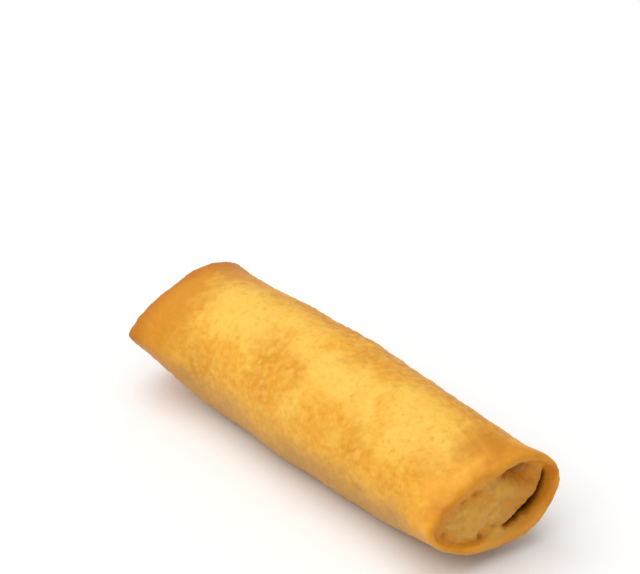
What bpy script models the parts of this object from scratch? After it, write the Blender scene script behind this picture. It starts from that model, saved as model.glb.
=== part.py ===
"""A fried spring roll lying on its side: one wrapped body with a tucked-in pocket at each end.

X runs along the roll, with the rounder mouth at +X. Y runs across it, and Z is up from the table at z = 0.
The outer skin, the rolled lip of each mouth and the tucked wrapper inside it are one closed surface, lofted
ring by ring from the middle of one pocket, out over its lip, along the body and into the other pocket.
All sizes here are in millimetres, and the finished points are scaled to metres.
"""

import math
from dataclasses import dataclass

import bmesh
import bpy
import numpy as np

METRES_PER_MM = 0.001

# The body.
LENGTH = 111.0
BODY_WIDTH = 32.8
BODY_HEIGHT = 33.5
CROWN = 0.8  # how much slimmer each shoulder is than the middle, on every side
REST_STRIP = 12.0  # width of the flat strip that the body rests on

# How far in from the mouth each named place along the roll lies.
NECK_AT = 4.5
COLLAR_AT = 12.0
SHOULDER_AT = 28.0

# Gentle swells where the filling presses on the wrapper: height, and waves round, along and phase in radians.
SWELLS = ((0.10, 2, 9.0, 0.6), (0.10, 3, -17.0, 2.1), (0.08, 1, 29.0, 0.0))

# The flap, which is the wrapper's last edge. Angles are in degrees round from +Y.
FLAP_STEP = 0.7  # height of the edge above the layer that it lies on
FLAP_FADE = 110.0  # how far round the roll the flap's extra height dies away
FLAP_ANGLE_FAR = -134.0  # the edge runs low on the front at the far end
FLAP_ANGLE_NEAR = -98.0  # and under the roll at the near end

# The lip of each mouth.
LIP_THICKNESS = 1.5  # where the wrapper isn't folded over
LIP_ROUNDING = 1.2  # how far its rounded edge reaches along the roll
LIP_RIPPLE = 0.25  # how unevenly the lip ends
LIP_RIPPLES = 5  # waves round the mouth
LEAST_LIP = 1.3  # how much of the lip an undercut leaves

# The tucked wrapper inside each mouth. Shares are of the mouth's half size.
WALL_TAPER = 0.25  # how much the pocket narrows from the lip to its floor
FLOOR_SLOPE = 0.10  # share of the pocket's depth that the floor loses steadily towards its deep side
GROOVE_FROM = 0.84  # where the groove between the floor and the wall begins, as a share
GROOVE_ENDS = (-0.1, 0.6)  # cosines of the turn from the groove's middle between which it fades in
TINY_SHARE = 1e-6  # a place nearer the centre than this has no direction
DOME = 0.8  # how far the floor bulges outwards in its middle
PUFF = 0.55  # height of the floor's blisters
PUFFS_ACROSS = 5.1  # radians of blister wave in a half size
PUFFS_UP = 4.3
PUFF_PHASE = 2.0

# How finely the surface is divided.
SEGMENTS = 64
BODY_RINGS = 34
RING_CROWDING = 0.86  # 0 spaces the body's rings evenly, and 1 crowds them most towards the mouths
LIP_RINGS = 5
WALL_RINGS = 4
FLOOR_RINGS = 7


@dataclass
class Section:
    """The skin's outline at one place along the roll."""

    inset: float  # distance in from the mouth
    half_width: float
    bottom: float
    top: float
    lean: float  # how far the highest and lowest points sit towards +Y, as a share of the half width
    pinch: float  # 0 is an oval, and 1 is a lens with pointed corners


@dataclass
class Fold:
    """A stretch of the lip where the wrapper is folded over thicker."""

    direction: float  # of its middle, in degrees round the mouth from +Y
    extra: float  # thickness there above the plain lip's
    spread: float  # degrees to each side in which it fades away


@dataclass
class Mouth:
    """One end of the roll: the sections from its lip inwards, and the pocket of tucked wrapper."""

    side: int  # +1 at the +X end, -1 at the other
    sections: list
    sweep: float  # how far the mouth's plane leans outwards towards +Y, as a slope
    overhang: float  # how far it leans outwards towards the top, as a slope
    folds: list
    shallow: float  # depth of the pocket on its shallow side
    deep: float  # and on its deep side
    deep_towards: float  # direction round the mouth of the deep side, in degrees from +Y
    drop: tuple  # shares of the way there between which the floor drops
    crease: float  # depth of the groove where the tucked wrapper meets the wall
    crease_towards: float  # direction round the mouth of the groove's middle, in degrees from +Y
    undercut: float  # how far the groove reaches out behind the lip


REST_SINK = REST_STRIP**2 / (4 * BODY_WIDTH)  # how far the oval would reach below the flat strip
SHOULDER = Section(SHOULDER_AT, BODY_WIDTH / 2 - CROWN, -REST_SINK, BODY_HEIGHT - CROWN, 0.0, 0.0)
MIDDLE = Section(LENGTH / 2, BODY_WIDTH / 2, -REST_SINK, BODY_HEIGHT, 0.0, 0.0)

NEAR_MOUTH = Mouth(
    side=1,
    sections=[
        Section(0.0, 18.8, 4.4, 26.9, 0.25, 0.14),
        Section(NECK_AT, 17.6, 3.5, 27.5, 0.16, 0.07),
        Section(COLLAR_AT, 16.8, 2.0, 29.9, 0.08, 0.03),
        SHOULDER,
    ],
    sweep=0.11,
    overhang=-0.02,
    folds=[Fold(115.0, 2.7, 50.0), Fold(-66.0, 2.7, 38.0), Fold(-91.0, 2.9, 11.0)],
    shallow=1.3,
    deep=5.0,
    deep_towards=-35.0,
    drop=(0.55, 1.0),
    crease=3.0,
    crease_towards=-50.0,
    undercut=1.2,
)

FAR_MOUTH = Mouth(
    side=-1,
    sections=[
        Section(0.0, 20.2, 5.9, 29.7, 0.10, 0.66),
        Section(NECK_AT, 18.7, 4.6, 29.7, 0.07, 0.46),
        Section(COLLAR_AT, 17.8, 2.1, 30.6, 0.04, 0.20),
        SHOULDER,
    ],
    sweep=0.05,
    overhang=-0.25,
    folds=[Fold(-120.0, 1.8, 55.0), Fold(75.0, 1.0, 40.0), Fold(15.0, 1.2, 12.0)],
    shallow=1.2,
    deep=7.0,
    deep_towards=-160.0,
    drop=(0.45, 0.98),
    crease=2.2,
    crease_towards=-70.0,
    undercut=0.6,
)

MOUTHS = (FAR_MOUTH, NEAR_MOUTH)


def smooth_step(value, low, high):
    share = np.clip((value - low) / (high - low), 0.0, 1.0)
    return share * share * (3.0 - 2.0 * share)


def section_table():
    """Places along X and the values of every section there, from the far mouth to the near one."""
    placed = [(0.0, MIDDLE)]
    for mouth in MOUTHS:
        placed += [(mouth.side * (LENGTH / 2 - section.inset), section) for section in mouth.sections]
    placed.sort(key=lambda pair: pair[0])
    return np.array([(x, s.half_width, s.bottom, s.top, s.lean, s.pinch) for x, s in placed])


def monotone_slopes(places, values):
    """Slopes of a smooth curve through the values that never overshoots them."""
    gaps = np.diff(places)
    rises = np.diff(values) / gaps
    slopes = np.zeros(len(places))
    slopes[0], slopes[-1] = rises[0], rises[-1]
    for i in range(1, len(places) - 1):
        before, after = rises[i - 1], rises[i]
        if before * after > 0:
            weight_before = 2 * gaps[i] + gaps[i - 1]
            weight_after = gaps[i] + 2 * gaps[i - 1]
            slopes[i] = (weight_before + weight_after) / (weight_before / before + weight_after / after)
    return slopes


def blend(table, place):
    """The section's values at any place along X, on smooth curves through the table's rows."""
    places = table[:, 0]
    row = int(np.clip(np.searchsorted(places, place) - 1, 0, len(places) - 2))
    gap = places[row + 1] - places[row]
    share = (place - places[row]) / gap
    found = []
    for values in table[:, 1:].T:
        slopes = monotone_slopes(places, values)
        found.append(
            values[row] * (1 + 2 * share) * (1 - share) ** 2
            + values[row + 1] * share**2 * (3 - 2 * share)
            + gap * slopes[row] * share * (1 - share) ** 2
            - gap * slopes[row + 1] * share**2 * (1 - share)
        )
    return found


def swell_height(place, angles, turned, flap_step):
    """Height of the surface above its smooth section: the filling's swells, and the flap's thickness."""
    height = flap_step * np.clip(1 - turned / FLAP_FADE, 0, 1)
    for size, around, along, phase in SWELLS:
        height = height + size * np.sin(around * angles + along * place / LENGTH + phase)
    return height


def skin_ring(table, place, flap_step=FLAP_STEP):
    """The outer skin at one place along X: the Y and Z of its points, starting at the flap's edge."""
    half_width, bottom, top, lean, pinch = blend(table, place)
    turned = np.linspace(0.0, 360.0, SEGMENTS, endpoint=False)
    share = place / LENGTH + 0.5
    flap_edge = FLAP_ANGLE_FAR + share * (FLAP_ANGLE_NEAR - FLAP_ANGLE_FAR)
    angles = np.radians(flap_edge - turned)
    across, up = np.cos(angles), np.sin(angles)
    height = swell_height(place, angles, turned, flap_step)
    y = half_width * (across + lean * up**2) + height * across
    z = (top + bottom) / 2 + (top - bottom) / 2 * up * np.abs(up) ** pinch + height * up
    return y, z


def lean_outwards(mouth, x, y, z, weight):
    """Moves points along X, so that the mouth's plane leans and its lip ends unevenly."""
    lip = mouth.sections[0]
    height = z - (lip.top + lip.bottom) / 2
    ripple = LIP_RIPPLE * np.sin(LIP_RIPPLES * np.arctan2(height, y))
    ripple = ripple * smooth_step(np.hypot(y, height), 0, lip.half_width / 2)
    return x + mouth.side * weight * (mouth.sweep * y + mouth.overhang * height + ripple)


def body_rings(table):
    """Rings of the outer skin from the far lip to the near one, closer together towards the mouths."""
    reach = LENGTH / 2 - LIP_ROUNDING
    widest_turn = RING_CROWDING * math.pi / 2
    rings = []
    for turn in np.linspace(-widest_turn, widest_turn, BODY_RINGS):
        place = reach * math.sin(turn) / math.sin(widest_turn)
        y, z = skin_ring(table, place)
        x = np.full(SEGMENTS, place)
        for mouth in MOUTHS:
            inset = LENGTH / 2 - mouth.side * place
            x = lean_outwards(mouth, x, y, z, 1 - smooth_step(inset, 0, SHOULDER_AT))
        rings.append(np.stack([x, y, np.maximum(z, 0.0)], axis=1))
    return rings


def share_towards(across, up, direction):
    """How far a place lies towards a direction in degrees round the mouth, as a share of its half size."""
    return across * math.cos(math.radians(direction)) + up * math.sin(math.radians(direction))


def lip_thickness(mouth, across, up):
    """Thickness of the lip at places on the mouth's rim."""
    directions = np.degrees(np.arctan2(up, across))
    thickness = np.full(SEGMENTS, LIP_THICKNESS)
    for fold in mouth.folds:
        turned = (directions - fold.direction + 180.0) % 360.0 - 180.0
        thickness += fold.extra * np.exp(-((turned / fold.spread) ** 2))
    return thickness


def crease_share(mouth, across, up):
    """How much of the groove's depth there is in the direction of each place, from 0 to 1."""
    from_centre = np.maximum(np.hypot(across, up), TINY_SHARE)
    turn_cosine = share_towards(across, up, mouth.crease_towards) / from_centre
    return smooth_step(turn_cosine, *GROOVE_ENDS)


def pocket_depth(mouth, across, up):
    """Depth of the tucked wrapper behind the lip, at a place given as shares of the mouth's half sizes."""
    from_centre = np.hypot(across, up)
    towards_deep = share_towards(across, up, mouth.deep_towards)
    steady = FLOOR_SLOPE * (1 + towards_deep) / 2
    fall = steady + (1 - FLOOR_SLOPE) * smooth_step(towards_deep, *mouth.drop)
    groove = mouth.crease * smooth_step(from_centre, GROOVE_FROM, 1.0) * crease_share(mouth, across, up)
    dome = DOME * (1 - from_centre**2)
    puffs = PUFF * np.sin(PUFFS_ACROSS * across) * np.sin(PUFFS_UP * up + PUFF_PHASE) * (1 - from_centre**2)
    return mouth.shallow + (mouth.deep - mouth.shallow) * fall + groove - dome + puffs


def outline(y, z):
    """The middle and the half sizes of a ring."""
    return (y.max() + y.min()) / 2, (z.max() + z.min()) / 2, (y.max() - y.min()) / 2, (z.max() - z.min()) / 2


def pocket_rings(table, mouth):
    """Rings from the skin's last ring, over the rolled lip, down the pocket's wall and in over its floor.

    The step at the flap's edge fades away over the lip.
    """
    place = mouth.side * (LENGTH / 2 - LIP_ROUNDING)
    collar = mouth.side * (LENGTH / 2 - COLLAR_AT)
    stepped_y, stepped_z = skin_ring(table, place)
    y, z = skin_ring(table, place, flap_step=0.0)
    centre_y, centre_z, half_y, half_z = outline(y, z)
    collar_y, collar_z, collar_half_y, collar_half_z = outline(*skin_ring(table, collar))
    across, up = (y - centre_y) / half_y, (z - centre_z) / half_z
    thickness = lip_thickness(mouth, across, up)
    undercut = np.minimum(mouth.undercut * crease_share(mouth, across, up), thickness - LEAST_LIP)
    floor_set_in = thickness + WALL_TAPER - undercut

    def ring(set_in, depth, share=1.0, flap_left=0.0):
        """Points set in from the skin, shrunk to a share of that outline, at a depth behind the lip.

        Deeper points follow the skin where it narrows towards the collar.
        """
        inwards = np.clip((depth - LIP_ROUNDING) / (COLLAR_AT - LIP_ROUNDING), 0.0, 1.0)
        middle_y = centre_y + (collar_y - centre_y) * inwards
        middle_z = centre_z + (collar_z - centre_z) * inwards
        reach_y = half_y - set_in + min(collar_half_y - half_y, 0.0) * inwards
        reach_z = half_z - set_in + min(collar_half_z - half_z, 0.0) * inwards
        ring_y = middle_y + across * reach_y * share + (stepped_y - y) * flap_left
        ring_z = middle_z + up * reach_z * share + (stepped_z - z) * flap_left
        x = mouth.side * (LENGTH / 2 - depth)
        return np.stack([lean_outwards(mouth, x, ring_y, ring_z, 1.0), ring_y, ring_z], axis=1)

    rings = []
    for turn in np.linspace(0, math.pi, LIP_RINGS + 1)[1:]:
        set_in = thickness / 2 * (1 - math.cos(turn))
        rings.append(ring(set_in, LIP_ROUNDING * (1 - math.sin(turn)), flap_left=(1 + math.cos(turn)) / 2))
    wall_foot = pocket_depth(mouth, across, up)
    for share in np.linspace(0, 1, WALL_RINGS + 1)[1:]:
        depth = LIP_ROUNDING * (1 - share) + wall_foot * share
        rings.append(ring(thickness * (1 - share) + floor_set_in * share, depth))
    for share in np.linspace(1, 0, FLOOR_RINGS + 2)[1:-1]:
        depth = pocket_depth(mouth, across * share, up * share)
        rings.append(ring(floor_set_in, depth, share))
    return rings


def loft(name, rings):
    """One closed mesh through the rings, with a fan over the first and the last."""
    build = bmesh.new()
    loops = [[build.verts.new(point * METRES_PER_MM) for point in ring] for ring in rings]
    for first, second in zip(loops, loops[1:]):
        for i in range(SEGMENTS):
            j = (i + 1) % SEGMENTS
            build.faces.new((first[i], first[j], second[j], second[i]))
    for loop in (loops[0], loops[-1]):
        tip = build.verts.new(np.mean([point.co for point in loop], axis=0))
        for i in range(SEGMENTS):
            build.faces.new((loop[i], tip, loop[(i + 1) % SEGMENTS]))
    bmesh.ops.recalc_face_normals(build, faces=build.faces)
    bmesh.ops.triangulate(build, faces=build.faces)
    mesh = bpy.data.meshes.new(name)
    build.to_mesh(mesh)
    build.free()
    mesh.shade_smooth()
    return mesh


def fried_wrapper():
    """Golden fried wheat wrapper with a thin film of oil."""
    material = bpy.data.materials.new("fried_wrapper")
    material.use_nodes = True
    shader = material.node_tree.nodes["Principled BSDF"]
    shader.inputs["Base Color"].default_value = (0.80, 0.42, 0.09, 1.0)
    shader.inputs["Roughness"].default_value = 0.45
    shader.inputs["Metallic"].default_value = 0.0
    return material


def spring_roll():
    """The whole roll, as one closed solid."""
    table = section_table()
    rings = pocket_rings(table, FAR_MOUTH)[::-1] + body_rings(table) + pocket_rings(table, NEAR_MOUTH)
    roll = bpy.data.objects.new("spring_roll", loft("spring_roll", rings))
    roll.data.materials.append(fried_wrapper())
    bpy.context.scene.collection.objects.link(roll)


def main():
    for old in list(bpy.data.objects):
        bpy.data.objects.remove(old)
    spring_roll()


main()
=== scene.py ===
"""The looks of a fried spring roll: a blistered golden wrapper, tucked in at both ends, on a white table.

Lengths are in metres, in the frame's own axes: X along the roll, Y across it and Z up from the table.
The wrapper is the frame's solid, resurfaced with a fine even mesh. Its lumps, blisters and bulges come from
moving that mesh's points along their normals. Each point's distances under the outer skin and in from the two
lips say where the wrapper is tucked in, and all other places are measured from the frame's box.
"""

import math

import bmesh
import bpy
import numpy as np
from mathutils import Matrix, Vector, noise


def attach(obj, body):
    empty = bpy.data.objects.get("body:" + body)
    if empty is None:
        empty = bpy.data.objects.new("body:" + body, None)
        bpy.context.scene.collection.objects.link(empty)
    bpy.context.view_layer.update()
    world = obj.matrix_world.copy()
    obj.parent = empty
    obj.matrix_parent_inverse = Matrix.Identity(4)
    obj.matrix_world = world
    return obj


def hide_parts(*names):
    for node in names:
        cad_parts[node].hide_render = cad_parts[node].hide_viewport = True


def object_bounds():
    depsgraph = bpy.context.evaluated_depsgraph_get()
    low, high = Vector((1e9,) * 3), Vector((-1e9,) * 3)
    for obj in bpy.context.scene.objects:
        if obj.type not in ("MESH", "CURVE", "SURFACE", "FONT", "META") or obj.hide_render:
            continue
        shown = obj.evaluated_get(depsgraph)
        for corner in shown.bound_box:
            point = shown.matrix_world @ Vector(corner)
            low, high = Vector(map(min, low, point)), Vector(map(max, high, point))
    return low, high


MM = 0.001
NODE = "spring_roll"

# The fine mesh.
WELD = 0.01 * MM
ROUNDING = 2  # levels of subdivision, which round off the frame's facets
VOXEL = 0.43 * MM
SMOOTHING = 3  # passes, which even out the voxels' steps
SMOOTHING_FACTOR = 0.5
CAVITY_PASSES = 28  # of smoothing, against which hollows and high spots are measured

# How the outer skin and the mouths are found.
SECTORS = 120
SLICES = 110
LIP_EVENING = 2  # sectors on each side, over which a lip's reach is averaged
LIP_ROUNDING = 0.6 * MM
POCKET_REACH = 12 * MM  # no pocket is deeper than this

# Distances between which one look gives way to another.
LIP_FADE = (0.8 * MM, 4.5 * MM)  # from the lip's crest, for the lip's own look
TUCK_UNDER = (0.5 * MM, 1.1 * MM)  # under the skin, for where the tucked wrapper begins
TUCK_IN = (1.1 * MM, 2.0 * MM)  # in from the lip, with half of the distance under the skin added
BULGE_UNDER = (2.2 * MM, 4.5 * MM)  # under the skin, for where the tucked wrapper starts to bulge

# The relief. A shift picks each pattern's own stretch of the noise.
LUMPS = dict(height=0.22 * MM, size=12 * MM, octaves=2, shift=3.1)
PEEL = dict(height=0.09 * MM, size=2.1 * MM, octaves=3, shift=7.7)
PUFFS = dict(height=0.50 * MM, size=3.6 * MM, octaves=2, shift=12.4)
WRINKLES = dict(height=0.35 * MM, size=1.8 * MM, octaves=3, shift=15.1)

# Round blisters of three sizes. The radius is a part of the spacing, and the share says how many of the sites
# have a blister.
BLISTERS = dict(height=0.15 * MM, spacing=2.6 * MM, radius=0.62, share=0.50, shift=1.3)
BEADS = dict(height=0.11 * MM, spacing=1.35 * MM, radius=0.60, share=0.45, shift=5.9)
FLAKES = dict(height=0.32 * MM, spacing=2.3 * MM, radius=0.60, share=0.70, shift=8.3)
SITES_APART = 97.0  # scale that takes neighbouring sites to unrelated chances

# A patch along the back of the crown, where the blisters have opened into coarser flakes.
FLAKES_AT = (-0.02, 0.28)  # along and across, as shares of the roll
FLAKES_REACH = (10 * MM, 6 * MM)
FLAKES_FADE = (0.5, 1.0)  # as shares of the reach

# Bulges and hollows of the wrapper tucked into the near mouth. Each has its place across and up from the
# roll's axis, its height outwards and its size, in millimetres.
NEAR_TUCKS = (
    (-1.0, -0.5, 1.1, 5.5),
    (4.2, 3.3, 0.8, 2.4),
    (-7.5, -2.7, 1.0, 4.5),
    (8.5, -0.5, 0.8, 3.0),
    (8.5, 5.2, -2.6, 3.4),
    (4.8, 6.8, -2.0, 2.6),
    (11.5, 2.5, -1.6, 2.4),
    (-3.0, -7.6, -0.7, 2.4),
    (-13.0, -5.5, -0.7, 3.0),
)

# Patches of the crust. Each has its place along the roll, as a share of its length from the middle, its
# direction round the axis in degrees from the back's side, and its size in millimetres.
PALE_PATCHES = (
    (-0.34, 112, 8),
    (-0.26, 98, 8),
    (-0.15, 108, 9),
    (-0.04, 105, 6),
    (0.06, 116, 7),
    (0.12, 108, 6),
    (0.30, 107, 11),
    (0.37, 112, 8),
    (0.03, 150, 5),
)
AMBER_PATCHES = (
    (-0.36, 145, 8),
    (-0.09, 130, 7),
    (-0.02, 134, 6),
    (-0.08, 154, 6),
    (0.17, 78, 6),
    (0.20, 150, 6),
    (0.38, 150, 7),
    (0.08, 88, 5),
    (0.36, 174, 8),
    (-0.29, 174, 8),
)
BROWN_PATCHES = (
    (0.43, 68, 7),
    (0.415, 92, 4.5),
    (0.45, 165, 4),
    (0.48, 10, 3.5),
    (0.47, -20, 4),
    (-0.45, 62, 7),
    (-0.46, 95, 5),
)
PATCHES = {
    "pale": dict(patches=PALE_PATCHES, shift=31.0),
    "amber": dict(patches=AMBER_PATCHES, shift=41.0),
    "brown": dict(patches=BROWN_PATCHES, shift=51.0),
}
PATCH_STRENGTHS = {"pale": 0.85, "amber": 0.65, "brown": 0.70}
PATCH_FADE = (0.0, 1.3)  # as shares of the patch's size
PATCH_WARP = dict(height=2.6 * MM, size=6 * MM, octaves=3)
CROWN_TOWARDS = (0.0, -0.30, 0.954)  # the direction that the palest stretch of the crust faces, up and a little to the front, where it is partly its own paler top and partly painted light

# The camera looks down on the roll from beyond its near end.
CAMERA_AZIMUTH = 49.55
CAMERA_ELEVATION = 30.53
CAMERA_DISTANCE = 544.8 * MM
CAMERA_LENS = 129.375
CAMERA_SENSOR = 36.0
CAMERA_CLIP = 10 * MM
AIM_RIGHT = -2.3 * MM  # from the middle of the roll's box
AIM_UP = 26.5 * MM

# The studio: a broad soft light from overhead, a dim sky all round and a white table and backdrop.
FLOOR_SIZE = 12.0
SKY_STRENGTH = 0.55
BACKDROP = 1.0
SUN_AZIMUTH = -20.0
SUN_ELEVATION = 68.0
SUN_STRENGTH = 2.15
SUN_WIDTH = 76.0  # degrees across, which makes the shadows soft


# ---------------------------------------------------------------- patterns


def ramp(value, low, high):
    """0 below low, 1 above high and a smooth step between them."""
    share = np.clip((value - low) / (high - low), 0.0, 1.0)
    return share * share * (3.0 - 2.0 * share)


def noise_origin(shift):
    """Where in the noise a pattern starts."""
    return Vector((shift, 2.0 * shift, 3.0 * shift))


def billows(points, height, size, octaves, shift):
    """Cloudy lumps of the given height, above and below 0, at each point."""
    origin = noise_origin(shift)
    return height * np.array([noise.fractal(Vector(p) / size + origin, 1.0, 2.0, octaves) for p in points])


def bubbles(points, height, spacing, radius, share, shift):
    """Scattered round blisters, each 0 at its foot and of the given height at its top."""
    origin = noise_origin(shift)
    domes = np.zeros(len(points))
    for i, point in enumerate(points):
        distances, sites = noise.voronoi(Vector(point) / spacing + origin)
        if noise.cell(sites[0] * SITES_APART) < share:
            domes[i] = max(0.0, 1.0 - (distances[0] / radius) ** 2)
    return height * domes


# ---------------------------------------------------------------- the mesh


def welded_copy(mesh):
    """A copy of a mesh with its corners joined and most of its triangles paired into quads."""
    copy = mesh.copy()
    work = bmesh.new()
    work.from_mesh(copy)
    bmesh.ops.remove_doubles(work, verts=work.verts, dist=WELD)
    any_angle = dict(angle_face_threshold=math.pi, angle_shape_threshold=math.pi)
    bmesh.ops.join_triangles(work, faces=work.faces, **any_angle)
    work.to_mesh(copy)
    work.free()
    return copy


def fine_copy(name):
    """A new piece with the frame's shape in a fine, even, smooth mesh."""
    rough = bpy.data.objects.new(name + "_rough", welded_copy(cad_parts[NODE].data))
    bpy.context.scene.collection.objects.link(rough)
    rounding = rough.modifiers.new("rounding", "SUBSURF")
    rounding.levels = ROUNDING
    remesh = rough.modifiers.new("remesh", "REMESH")
    remesh.mode = "VOXEL"
    remesh.voxel_size = VOXEL
    smooth = rough.modifiers.new("smooth", "SMOOTH")
    smooth.factor = SMOOTHING_FACTOR
    smooth.iterations = SMOOTHING
    evaluated = rough.evaluated_get(bpy.context.evaluated_depsgraph_get())
    mesh = bpy.data.meshes.new_from_object(evaluated)
    mesh.name = name
    mesh.materials.clear()
    bpy.data.objects.remove(rough)
    piece = bpy.data.objects.new(name, mesh)
    bpy.context.scene.collection.objects.link(piece)
    return piece


def read_points(mesh):
    """The mesh's points, one in each row."""
    points = np.empty(len(mesh.vertices) * 3, np.float32)
    mesh.vertices.foreach_get("co", points)
    return points.reshape(-1, 3).astype(float)


def read_normals(mesh):
    """The outward direction at each of the mesh's points."""
    normals = np.empty(len(mesh.vertices) * 3, np.float32)
    mesh.vertex_normals.foreach_get("vector", normals)
    return normals.reshape(-1, 3).astype(float)


def write_points(mesh, points):
    mesh.vertices.foreach_set("co", points.astype(np.float32).ravel())
    mesh.update()


def write_attribute(mesh, name, values):
    """A value for each point, which the material reads by its name."""
    attribute = mesh.attributes.new(name, "FLOAT", "POINT")
    attribute.data.foreach_set("value", values.astype(np.float32))


# ---------------------------------------------------------------- places on the roll


def directions(points):
    """Each point's direction round the roll's axis, from 0 to 1, and its distance from that axis."""
    y, z = points[:, 1] - middle.y, points[:, 2] - middle.z
    return np.arctan2(z, y) / (2 * math.pi) % 1.0, np.hypot(y, z)


class Skin:
    """The outer skin, as its distance from the axis in every direction at every place along the roll."""

    def __init__(self, points):
        turn, radius = directions(points)
        self.radii = np.zeros((SLICES, SECTORS))
        np.maximum.at(self.radii, (self.slice(points[:, 0]), self.sector(turn)), radius)
        self.lips = [self.lip(points[:, 0], turn, side) for side in (-1, 1)]

    @staticmethod
    def slice(x):
        """The number of the slice at each place along the roll."""
        return np.clip(np.floor((x - cad_low.x) / length * SLICES), 0, SLICES - 1).astype(int)

    @staticmethod
    def sector(turn):
        """The number of the sector in each direction."""
        return np.floor(turn * SECTORS).astype(int) % SECTORS

    def lip(self, x, turn, side):
        """How far out along X the roll reaches in every direction, at one end."""
        reach = np.full(SECTORS, -np.inf)
        np.maximum.at(reach, self.sector(turn), side * x)
        steps = range(-LIP_EVENING, LIP_EVENING + 1)
        return side * sum(np.roll(reach, step) for step in steps) / len(steps)

    def measure(self, points):
        """For each point: its distance under the outer skin, and its distances in from the two lips."""
        turn, radius = directions(points)
        sector = self.sector(turn)
        far_lip, near_lip = (lip[sector] for lip in self.lips)
        seen_from = np.clip(points[:, 0], far_lip + LIP_ROUNDING, near_lip - LIP_ROUNDING)
        under = self.radii[self.slice(seen_from), sector] - radius
        return np.clip(under, 0, None), points[:, 0] - far_lip, near_lip - points[:, 0]


def cavity(mesh, points, normals):
    """How deep each point lies in a hollow, or below 0 how far it stands out."""
    ends = np.empty(len(mesh.edges) * 2, np.int32)
    mesh.edges.foreach_get("vertices", ends)
    first, second = ends.reshape(-1, 2).T
    count = len(points)
    neighbours = np.bincount(first, minlength=count) + np.bincount(second, minlength=count)
    even = points.copy()
    for _ in range(CAVITY_PASSES):
        sums = [
            np.bincount(first, even[second, k], count) + np.bincount(second, even[first, k], count)
            for k in range(3)
        ]
        even = np.stack(sums, axis=1) / neighbours[:, None]
    return ((even - points) * normals).sum(axis=1)


def patch_share(points, patches, shift):
    """How much of a patch each point has, from 0 to 1, with uneven edges."""
    warps = [billows(points, shift=shift + k, **PATCH_WARP) for k in range(3)]
    warped = points + np.stack(warps, axis=1)
    turn, radius = directions(warped)
    shares = np.zeros(len(points))
    for along, direction, size in patches:
        x = warped[:, 0] - along * length
        turned = (turn - direction / 360 + 0.5) % 1.0 - 0.5
        arc = turned * 2 * math.pi * radius
        shares = np.maximum(shares, 1 - ramp(np.hypot(x, arc) / (size * MM), *PATCH_FADE))
    return shares


# ---------------------------------------------------------------- the wrapper


def tucks(points):
    """Height of the near mouth's bulges and hollows at each point."""
    y, z = points[:, 1] - middle.y, points[:, 2] - middle.z
    height = np.zeros(len(points))
    for across, up, out, size in NEAR_TUCKS:
        away = np.hypot(y - across * MM, z - up * MM) / (size * MM)
        height += out * MM * np.exp(-(away**2))
    return height * (points[:, 0] > 0)


def flake_zone(points):
    """1 in the patch of coarser flakes, fading to 0 round it."""
    along = np.abs(points[:, 0] - FLAKES_AT[0] * length) / FLAKES_REACH[0]
    across = np.abs(points[:, 1] - middle.y - FLAKES_AT[1] * width) / FLAKES_REACH[1]
    above = points[:, 2] > middle.z
    return (1 - ramp(along, *FLAKES_FADE)) * (1 - ramp(across, *FLAKES_FADE)) * above


def relief(points, tucked, bulge, lip):
    """Height of the fried surface above its smooth shape."""
    height = billows(points, **LUMPS) * (1 - lip)
    height += billows(points, **PEEL)
    height += bubbles(points, **BLISTERS) * (1 - tucked) * (1 - lip / 2)
    height += bubbles(points, **BEADS)
    height += bubbles(points, **FLAKES) * flake_zone(points)
    height += (billows(points, **PUFFS) + tucks(points)) * bulge
    height += billows(points, **WRINKLES) * bulge
    return height


def wrapper():
    """The whole roll's wrapper, with its relief and what its material has to know about each point."""
    piece = fine_copy("fried_wrapper")
    mesh = piece.data
    points = read_points(mesh)
    normals = read_normals(mesh)
    under, from_far_lip, from_near_lip = Skin(points).measure(points)
    inset = np.minimum(from_far_lip, from_near_lip)
    tucked = ramp(under, *TUCK_UNDER) * ramp(inset + under / 2, *TUCK_IN) * (inset < POCKET_REACH)
    lip = 1 - ramp(np.hypot(inset, under), *LIP_FADE)
    bulge = tucked * ramp(under, *BULGE_UNDER)
    moved = points + normals * relief(points, tucked, bulge, lip)[:, None]
    moved[:, 2] = np.maximum(moved[:, 2], cad_low.z)
    write_points(mesh, moved)
    # The material reads the cavity for painted shade in hollows and painted light on high spots.
    write_attribute(mesh, "cavity", cavity(mesh, moved, read_normals(mesh)) / MM)
    for name, kind in PATCHES.items():
        write_attribute(mesh, name, patch_share(points, **kind))
    write_attribute(mesh, "tucked", tucked)
    write_attribute(mesh, "lip", lip)
    # The material reads the crown for the partly painted light along the top and the painted shade low down,
    # and to spare the underside.
    write_attribute(mesh, "crown", normals @ np.array(CROWN_TOWARDS))
    write_attribute(mesh, "under", under / MM)
    write_attribute(mesh, "from_near_lip", from_near_lip / MM)
    write_attribute(mesh, "from_far_lip", from_far_lip / MM)
    mesh.shade_smooth()
    mesh.materials.append(fried_wrapper())
    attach(piece, "root")
    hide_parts(NODE)


# ---------------------------------------------------------------- nodes of a material


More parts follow.
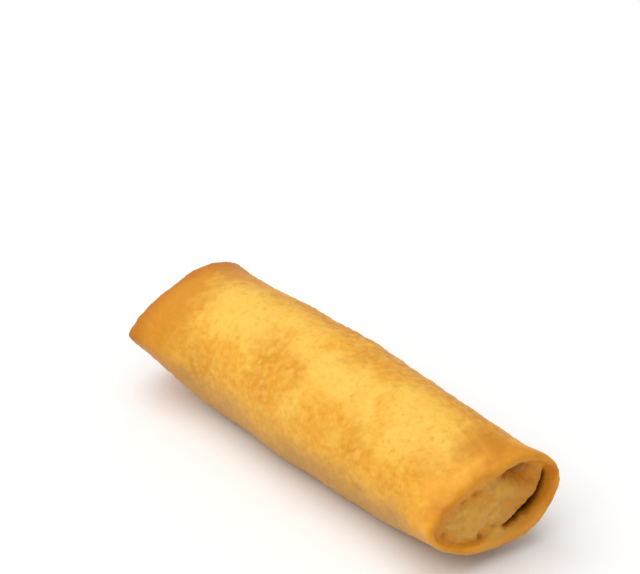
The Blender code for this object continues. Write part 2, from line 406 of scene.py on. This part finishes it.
class Nodes:
    """Short ways to add nodes to one material."""

    def __init__(self, name):
        self.material = bpy.data.materials.new(name)
        self.material.use_nodes = True
        self.tree = self.material.node_tree
        self.shader = self.tree.nodes["Principled BSDF"]

    def plug(self, socket, value):
        """Link another node's output to a socket, or set the socket's own value."""
        if isinstance(value, bpy.types.NodeSocket):
            self.tree.links.new(value, socket)
        else:
            socket.default_value = value

    def shade(self, **values):
        """Link or set inputs of the shader, named with _ in place of each space."""
        for name, value in values.items():
            self.plug(self.shader.inputs[name.replace("_", " ")], value)

    def place(self):
        """Where a point is in the frame."""
        return self.tree.nodes.new("ShaderNodeTexCoord").outputs["Object"]

    def attribute(self, name):
        """A value that the mesh holds for each of its points."""
        node = self.tree.nodes.new("ShaderNodeAttribute")
        node.attribute_name = name
        return node.outputs["Fac"]

    def clouds(self, size, detail, roughness, shift):
        """Cloudy noise from 0 to 1."""
        node = self.tree.nodes.new("ShaderNodeTexNoise")
        node.noise_dimensions = "4D"
        self.plug(node.inputs["Vector"], self.place())
        node.inputs["W"].default_value = shift
        node.inputs["Scale"].default_value = 1 / size
        node.inputs["Detail"].default_value = detail
        node.inputs["Roughness"].default_value = roughness
        return node.outputs["Fac"]

    def dots(self, spacing, radius, share, shift):
        """Scattered round dots, 1 in their middles and 0 between them."""
        node = self.tree.nodes.new("ShaderNodeTexVoronoi")
        node.voronoi_dimensions = "4D"
        self.plug(node.inputs["Vector"], self.place())
        node.inputs["W"].default_value = shift
        node.inputs["Scale"].default_value = 1 / spacing
        chance = self.math("LESS_THAN", self.separate(node.outputs["Color"]).outputs["X"], share)
        return self.times(chance, self.fit(node.outputs["Distance"], (radius, 0.0)))

    def separate(self, vector):
        """A node with a vector's three parts."""
        node = self.tree.nodes.new("ShaderNodeSeparateXYZ")
        self.plug(node.inputs[0], vector)
        return node

    def across(self):
        """1 on the roll's back, away from its palest side, and -1 on its front."""
        return self.math("DIVIDE", self.separate(self.place()).outputs["Y"], width / 2)

    def uneven(self, clouds, spread):
        """Clouds as a shift above and below 0, with the given spread."""
        return self.times(self.math("SUBTRACT", clouds, 0.5), spread)

    def times(self, a, b):
        return self.math("MULTIPLY", a, b)

    def plus(self, a, b):
        return self.math("ADD", a, b)

    def math(self, operation, a, b):
        node = self.tree.nodes.new("ShaderNodeMath")
        node.operation = operation
        self.plug(node.inputs[0], a)
        self.plug(node.inputs[1], b)
        return node.outputs[0]

    def fit(self, value, limits):
        """0 at the first of two limits, 1 at the second and a smooth step between them."""
        rising = limits[0] < limits[1]
        node = self.tree.nodes.new("ShaderNodeMapRange")
        node.interpolation_type = "SMOOTHSTEP"
        self.plug(node.inputs["Value"], value)
        node.inputs["From Min"].default_value = min(limits)
        node.inputs["From Max"].default_value = max(limits)
        node.inputs["To Min"].default_value = 0.0 if rising else 1.0
        node.inputs["To Max"].default_value = 1.0 if rising else 0.0
        return node.outputs["Result"]

    def blend(self, share, a, b):
        """Colour a where share is 0, and b where it is 1."""
        node = self.tree.nodes.new("ShaderNodeMix")
        node.data_type = "RGBA"
        colours = [socket for socket in node.inputs if socket.type == "RGBA"]
        self.plug(node.inputs[0], share)
        self.plug(colours[0], a)
        self.plug(colours[1], b)
        return next(socket for socket in node.outputs if socket.type == "RGBA")

    def layer(self, under, over, where, strength):
        """One colour over another, where a share is above 0, at a strength."""
        return self.blend(self.times(where, strength), under, over)

    def bump(self, height, normal=None, *, distance, strength):
        """Relief too fine for the mesh, over that of an earlier bump if one is given."""
        node = self.tree.nodes.new("ShaderNodeBump")
        node.inputs["Distance"].default_value = distance
        node.inputs["Strength"].default_value = strength
        self.plug(node.inputs["Height"], height)
        if normal is not None:
            self.plug(node.inputs["Normal"], normal)
        return node.outputs["Normal"]


# ---------------------------------------------------------------- colours and patterns of the materials


def colour(red, green, blue):
    return (red, green, blue, 1.0)


WHITE = colour(1.0, 1.0, 1.0)
TABLE_WHITE = colour(0.90, 0.90, 0.90)
PALE = colour(0.86, 0.51, 0.075)
GOLD = colour(0.78, 0.36, 0.026)
ORANGE = colour(0.84, 0.35, 0.018)
AMBER = colour(0.62, 0.24, 0.008)
BROWN = colour(0.50, 0.165, 0.006)
TAN = colour(0.44, 0.225, 0.050)
GREY_GOLD = colour(0.55, 0.275, 0.045)
HAY = colour(0.67, 0.335, 0.042)
OCHRE = colour(0.57, 0.225, 0.014)
UMBER = colour(0.72, 0.27, 0.012)
DEEP_SHADE = colour(0.14, 0.045, 0.003)
CREASE_SHADE = colour(0.30, 0.12, 0.010)
PORE = colour(0.34, 0.14, 0.015)

BROAD_CLOUDS = dict(size=9 * MM, detail=3.0, roughness=0.55, shift=0.0)
EDGE_CLOUDS = dict(size=6 * MM, detail=3.0, roughness=0.6, shift=21.0)
PORE_CLOUDS = dict(size=7 * MM, detail=2.0, roughness=0.5, shift=14.0)
MOTTLE = dict(size=2.0 * MM, detail=5.0, roughness=0.65, shift=4.0)
GRAIN = dict(size=1.5 * MM, detail=5.0, roughness=0.7, shift=6.0)
FINE_GRAIN = dict(size=0.8 * MM, detail=4.0, roughness=0.6, shift=2.0)
PALE_DOTS = dict(spacing=2.6 * MM, radius=0.5, share=0.30, shift=11.0)
AMBER_DOTS = dict(spacing=2.2 * MM, radius=0.45, share=0.35, shift=3.0)
PORES = dict(spacing=1.5 * MM, radius=0.22, share=0.5, shift=9.0)
FINE_BEADS = dict(spacing=1.1 * MM, radius=0.55, share=0.7, shift=5.0)

GRAIN_BUMP = dict(distance=0.25 * MM, strength=0.7)
BEAD_BUMP = dict(distance=0.10 * MM, strength=0.7)
PORE_BUMP = dict(distance=-0.15 * MM, strength=0.5)

# Limits between which a colour comes in. The crown's are shares of facing the palest side, the back's are
# shares of the roll's half width, and the lips', hollows' and walls' are millimetres.
CROWN_PALE_AND_LIT = (0.55, 1.20)
BACK_SHADE_PAINTED = (-0.05, 0.44)
LOW_SHADE_PAINTED = (0.46, -0.12)
UNDERSIDE_SPARED = (-0.9, 0.1)  # from the near mouth's orange
LIP_SPARED = (-0.9, 0.3)  # from the lip's brown
LIP_BROWNS = (0.35, 0.65)  # of the broad clouds
NEAR_TOASTS = (15.0, 3.0)
FAR_TOASTS = (24.0, 6.0)
FAR_RIM_BROWNS = (7.0, 1.5)
GRAIN_PALES = (0.50, 0.66)
GRAIN_DEEPENS = (0.50, 0.34)
HIGH_SPOTS_PAINTED_LIGHT = (-0.01, -0.09)
HOLLOWS_PAINTED_SHADE = (0.01, 0.08)
PORES_OPEN = (0.45, 0.6)  # of the pores' clouds

# The same for the wrapper tucked in.
TUCK_HAYS = (0.40, 0.70)
TUCK_OCHRES = (0.50, 0.34)
TUCK_HIGH_SPOTS_PAINTED_LIGHT = (0.0, -0.25)
TUCK_BACK = (0.02, 0.45)
TUCK_WALLS = (4.2, 2.2)
TUCK_HOLLOWS_PAINTED_SHADE = (0.02, 0.22)
TUCK_CREASES_PAINTED_SHADE = (0.25, 0.75)
TUCK_DEPTHS_PAINTED_SHADE = (2.4, 4.4)

# How far the clouds shift those limits, in the same units.
CROWN_UNEVEN = 2.6
BACK_UNEVEN = 1.0
LOW_UNEVEN = 0.8
TOAST_UNEVEN = 26.0

ROUGHNESS = 0.33
ROUGHNESS_SPREAD = 0.25
SPECULAR = 0.22
SUBSURFACE = 0.10
SUBSURFACE_RADIUS = (1.0, 0.5, 0.2)
SUBSURFACE_SCALE = 1.2 * MM
TABLE_ROUGHNESS = 0.6


# ---------------------------------------------------------------- materials


def patched(nodes, skin, name, over):
    """The crust with one kind of patch."""
    return nodes.layer(skin, over, nodes.attribute(name), PATCH_STRENGTHS[name])


def crust(nodes, clouds):
    """The body: gold, with pale and amber patches, paler along the crown, partly its own paler top and partly
    painted light, and amber on the back as painted shade.
    """
    crown = nodes.plus(nodes.attribute("crown"), nodes.uneven(clouds, CROWN_UNEVEN))
    # Paler along the crown: partly the crust's own paler top, partly painted light where the top faces the
    # light.
    skin = nodes.blend(nodes.fit(crown, CROWN_PALE_AND_LIT), GOLD, PALE)
    skin = patched(nodes, skin, "pale", PALE)
    # Amber on the back: painted shade on the side turned from the light.
    back = nodes.plus(nodes.across(), nodes.uneven(clouds, BACK_UNEVEN))
    skin = nodes.layer(skin, AMBER, nodes.fit(back, BACK_SHADE_PAINTED), strength=0.92)
    return patched(nodes, skin, "amber", AMBER)


def flecked(nodes, skin):
    """Fine grain, pale flakes and amber freckles, with pale high spots as painted light and amber hollows as
    painted shade.
    """
    grain = nodes.clouds(**GRAIN)
    hollow = nodes.attribute("cavity")
    # Paler grain, and paler high spots as painted light where the relief stands out.
    pale = nodes.plus(nodes.fit(grain, GRAIN_PALES), nodes.fit(hollow, HIGH_SPOTS_PAINTED_LIGHT))
    # Amber grain, and amber hollows as painted shade where the relief dips.
    amber = nodes.plus(nodes.fit(grain, GRAIN_DEEPENS), nodes.fit(hollow, HOLLOWS_PAINTED_SHADE))
    skin = nodes.layer(skin, PALE, pale, strength=0.30)
    skin = nodes.layer(skin, AMBER, amber, strength=0.38)
    skin = nodes.layer(skin, PALE, nodes.dots(**PALE_DOTS), strength=0.5)
    return nodes.layer(skin, AMBER, nodes.dots(**AMBER_DOTS), strength=0.4)


def painted_low_shade(nodes, skin, clouds):
    """Duller tan low down: painted shade on the lower side, where less light falls."""
    low = nodes.plus(nodes.attribute("crown"), nodes.uneven(clouds, LOW_UNEVEN))
    return nodes.layer(skin, TAN, nodes.fit(low, LOW_SHADE_PAINTED), strength=0.74)


def toasted(nodes, skin):
    """Orange towards the near mouth and amber towards the far one, with brown patches and an uneven edge."""
    waver = nodes.uneven(nodes.clouds(**EDGE_CLOUDS), TOAST_UNEVEN)
    near = nodes.fit(nodes.plus(nodes.attribute("from_near_lip"), waver), NEAR_TOASTS)
    near = nodes.times(near, nodes.fit(nodes.attribute("crown"), UNDERSIDE_SPARED))
    far = nodes.fit(nodes.plus(nodes.attribute("from_far_lip"), waver), FAR_TOASTS)
    skin = nodes.layer(skin, ORANGE, near, strength=0.75)
    skin = nodes.layer(skin, AMBER, far, strength=0.95)
    skin = patched(nodes, skin, "brown", BROWN)
    rim = nodes.fit(nodes.attribute("from_far_lip"), FAR_RIM_BROWNS)
    return nodes.layer(skin, BROWN, rim, strength=0.9)


def lipped(nodes, skin, clouds):
    """Brown here and there along both lips, except underneath."""
    lip = nodes.times(nodes.attribute("lip"), nodes.fit(clouds, LIP_BROWNS))
    lip = nodes.times(lip, nodes.fit(nodes.attribute("crown"), LIP_SPARED))
    return nodes.layer(skin, BROWN, lip, strength=0.6)


def tucked_in(nodes):
    """The wrapper tucked in: greyish gold, partly its own colour and partly painted shade inside the mouth,
    ochre towards the back and with umber walls. Its high spots have painted light, its hollows and dark
    creases painted shade, and deeper in it turns dark with painted shade.
    """
    mottle = nodes.clouds(**MOTTLE)
    hollow = nodes.attribute("cavity")
    skin = nodes.blend(nodes.fit(mottle, TUCK_HAYS), GREY_GOLD, HAY)
    skin = nodes.layer(skin, OCHRE, nodes.fit(mottle, TUCK_OCHRES), strength=0.8)
    # Hay on high spots: painted light where the tucked wrapper stands out.
    skin = nodes.layer(skin, HAY, nodes.fit(hollow, TUCK_HIGH_SPOTS_PAINTED_LIGHT), strength=0.7)
    skin = nodes.layer(skin, OCHRE, nodes.fit(nodes.across(), TUCK_BACK), strength=0.85)
    skin = nodes.layer(skin, UMBER, nodes.fit(nodes.attribute("under"), TUCK_WALLS), strength=0.9)
    # Umber in hollows and dark in deeper creases: painted shade where the tucked wrapper dips.
    skin = nodes.layer(skin, UMBER, nodes.fit(hollow, TUCK_HOLLOWS_PAINTED_SHADE), strength=0.7)
    skin = nodes.layer(skin, CREASE_SHADE, nodes.fit(hollow, TUCK_CREASES_PAINTED_SHADE), strength=0.7)
    # Dark further in from the lip: painted shade deep in the mouth.
    inset = nodes.math("MINIMUM", nodes.attribute("from_near_lip"), nodes.attribute("from_far_lip"))
    return nodes.blend(nodes.fit(inset, TUCK_DEPTHS_PAINTED_SHADE), skin, DEEP_SHADE)


def fried_wrapper():
    """Golden fried wrapper, darker at its ends, with pinholes and fine grain, and duller where tucked in,
    partly as painted shade. It has partly painted light along the crown and painted light on high spots, and
    painted shade on the back, low down, in hollows and deep in the mouths.
    """
    nodes = Nodes("fried_wrapper")
    clouds = nodes.clouds(**BROAD_CLOUDS)
    skin = flecked(nodes, crust(nodes, clouds))
    skin = toasted(nodes, painted_low_shade(nodes, skin, clouds))
    skin = lipped(nodes, skin, clouds)
    # The tucked wrapper's duller colour is partly its own and partly painted shade inside the mouth.
    skin = nodes.blend(nodes.attribute("tucked"), skin, tucked_in(nodes))
    pores = nodes.times(nodes.dots(**PORES), nodes.fit(nodes.clouds(**PORE_CLOUDS), PORES_OPEN))
    skin = nodes.layer(skin, PORE, pores, strength=0.8)

    fine = nodes.clouds(**FINE_GRAIN)
    normal = nodes.bump(fine, **GRAIN_BUMP)
    normal = nodes.bump(nodes.dots(**FINE_BEADS), normal, **BEAD_BUMP)
    normal = nodes.bump(pores, normal, **PORE_BUMP)

    roughness = nodes.plus(nodes.times(fine, ROUGHNESS_SPREAD), ROUGHNESS)
    nodes.shade(Base_Color=skin, Roughness=roughness, Normal=normal, Specular_IOR_Level=SPECULAR)
    nodes.shade(Subsurface_Weight=SUBSURFACE, Subsurface_Radius=SUBSURFACE_RADIUS)
    nodes.shade(Subsurface_Scale=SUBSURFACE_SCALE)
    return nodes.material


def table_white():
    nodes = Nodes("table_white")
    nodes.shade(Base_Color=TABLE_WHITE, Roughness=TABLE_ROUGHNESS)
    return nodes.material


# ---------------------------------------------------------------- the studio


def basis(azimuth, elevation):
    """Right, up and back directions of a camera that looks at the roll from there, in degrees."""
    a, e = math.radians(azimuth), math.radians(elevation)
    back = Vector((math.sin(a) * math.cos(e), -math.cos(a) * math.cos(e), math.sin(e)))
    right = Vector((math.cos(a), math.sin(a), 0.0))
    return right, back.cross(right), back


def facing(place, right, up, back):
    """A matrix at a place, for a camera or a lamp that looks against back."""
    columns = Matrix((right, up, back)).transposed().to_4x4()
    return Matrix.Translation(place) @ columns


def camera():
    """The camera, from which the roll is seen as in its main picture."""
    right, up, back = basis(CAMERA_AZIMUTH, CAMERA_ELEVATION)
    data = bpy.data.cameras.new("camera")
    data.lens = CAMERA_LENS
    data.sensor_width = CAMERA_SENSOR
    data.clip_start = CAMERA_CLIP
    seen = bpy.data.objects.new("camera", data)
    place = middle + right * AIM_RIGHT + up * AIM_UP + back * CAMERA_DISTANCE
    seen.matrix_world = facing(place, right, up, back)
    bpy.context.scene.collection.objects.link(seen)
    bpy.context.scene.camera = seen


def sky():
    """A dim even light from all round, in front of which the camera sees a white backdrop."""
    world = bpy.data.worlds.new("studio")
    world.use_nodes = True
    tree = world.node_tree
    lights = tree.nodes["Background"]
    lights.inputs["Strength"].default_value = SKY_STRENGTH
    shown = tree.nodes.new("ShaderNodeBackground")
    shown.inputs["Strength"].default_value = BACKDROP
    for background in (lights, shown):
        background.inputs["Color"].default_value = WHITE
    path = tree.nodes.new("ShaderNodeLightPath")
    mix = tree.nodes.new("ShaderNodeMixShader")
    tree.links.new(path.outputs["Is Camera Ray"], mix.inputs[0])
    tree.links.new(lights.outputs[0], mix.inputs[1])
    tree.links.new(shown.outputs[0], mix.inputs[2])
    tree.links.new(mix.outputs[0], tree.nodes["World Output"].inputs["Surface"])
    bpy.context.scene.world = world


def sun():
    """A broad soft light from high up."""
    right, up, back = basis(SUN_AZIMUTH, SUN_ELEVATION)
    data = bpy.data.lights.new("sun", "SUN")
    data.energy = SUN_STRENGTH
    data.angle = math.radians(SUN_WIDTH)
    lamp = bpy.data.objects.new("sun", data)
    lamp.matrix_world = facing(back, right, up, back)
    bpy.context.scene.collection.objects.link(lamp)


def table_top():
    """The white table that the roll lies on, which is not part of the object."""
    mesh = bpy.data.meshes.new("table")
    half = FLOOR_SIZE / 2
    corners = [(x * half, y * half, cad_low.z) for x, y in ((-1, -1), (1, -1), (1, 1), (-1, 1))]
    mesh.from_pydata(corners, [], [(0, 1, 2, 3)])
    mesh.materials.append(table_white())
    table = bpy.data.objects.new("table", mesh)
    bpy.context.scene.collection.objects.link(table)


def studio():
    sky()
    sun()
    table_top()
    bpy.context.scene.view_settings.view_transform = "Standard"


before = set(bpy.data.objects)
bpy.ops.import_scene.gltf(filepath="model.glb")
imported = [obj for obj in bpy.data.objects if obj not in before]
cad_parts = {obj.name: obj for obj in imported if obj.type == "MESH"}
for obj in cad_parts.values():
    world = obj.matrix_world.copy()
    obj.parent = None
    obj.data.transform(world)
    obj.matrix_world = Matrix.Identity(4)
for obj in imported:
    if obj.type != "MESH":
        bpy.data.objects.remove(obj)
cad_low, cad_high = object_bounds()
middle = (cad_low + cad_high) / 2
length = cad_high.x - cad_low.x
width = cad_high.y - cad_low.y
wrapper()
studio()
camera()
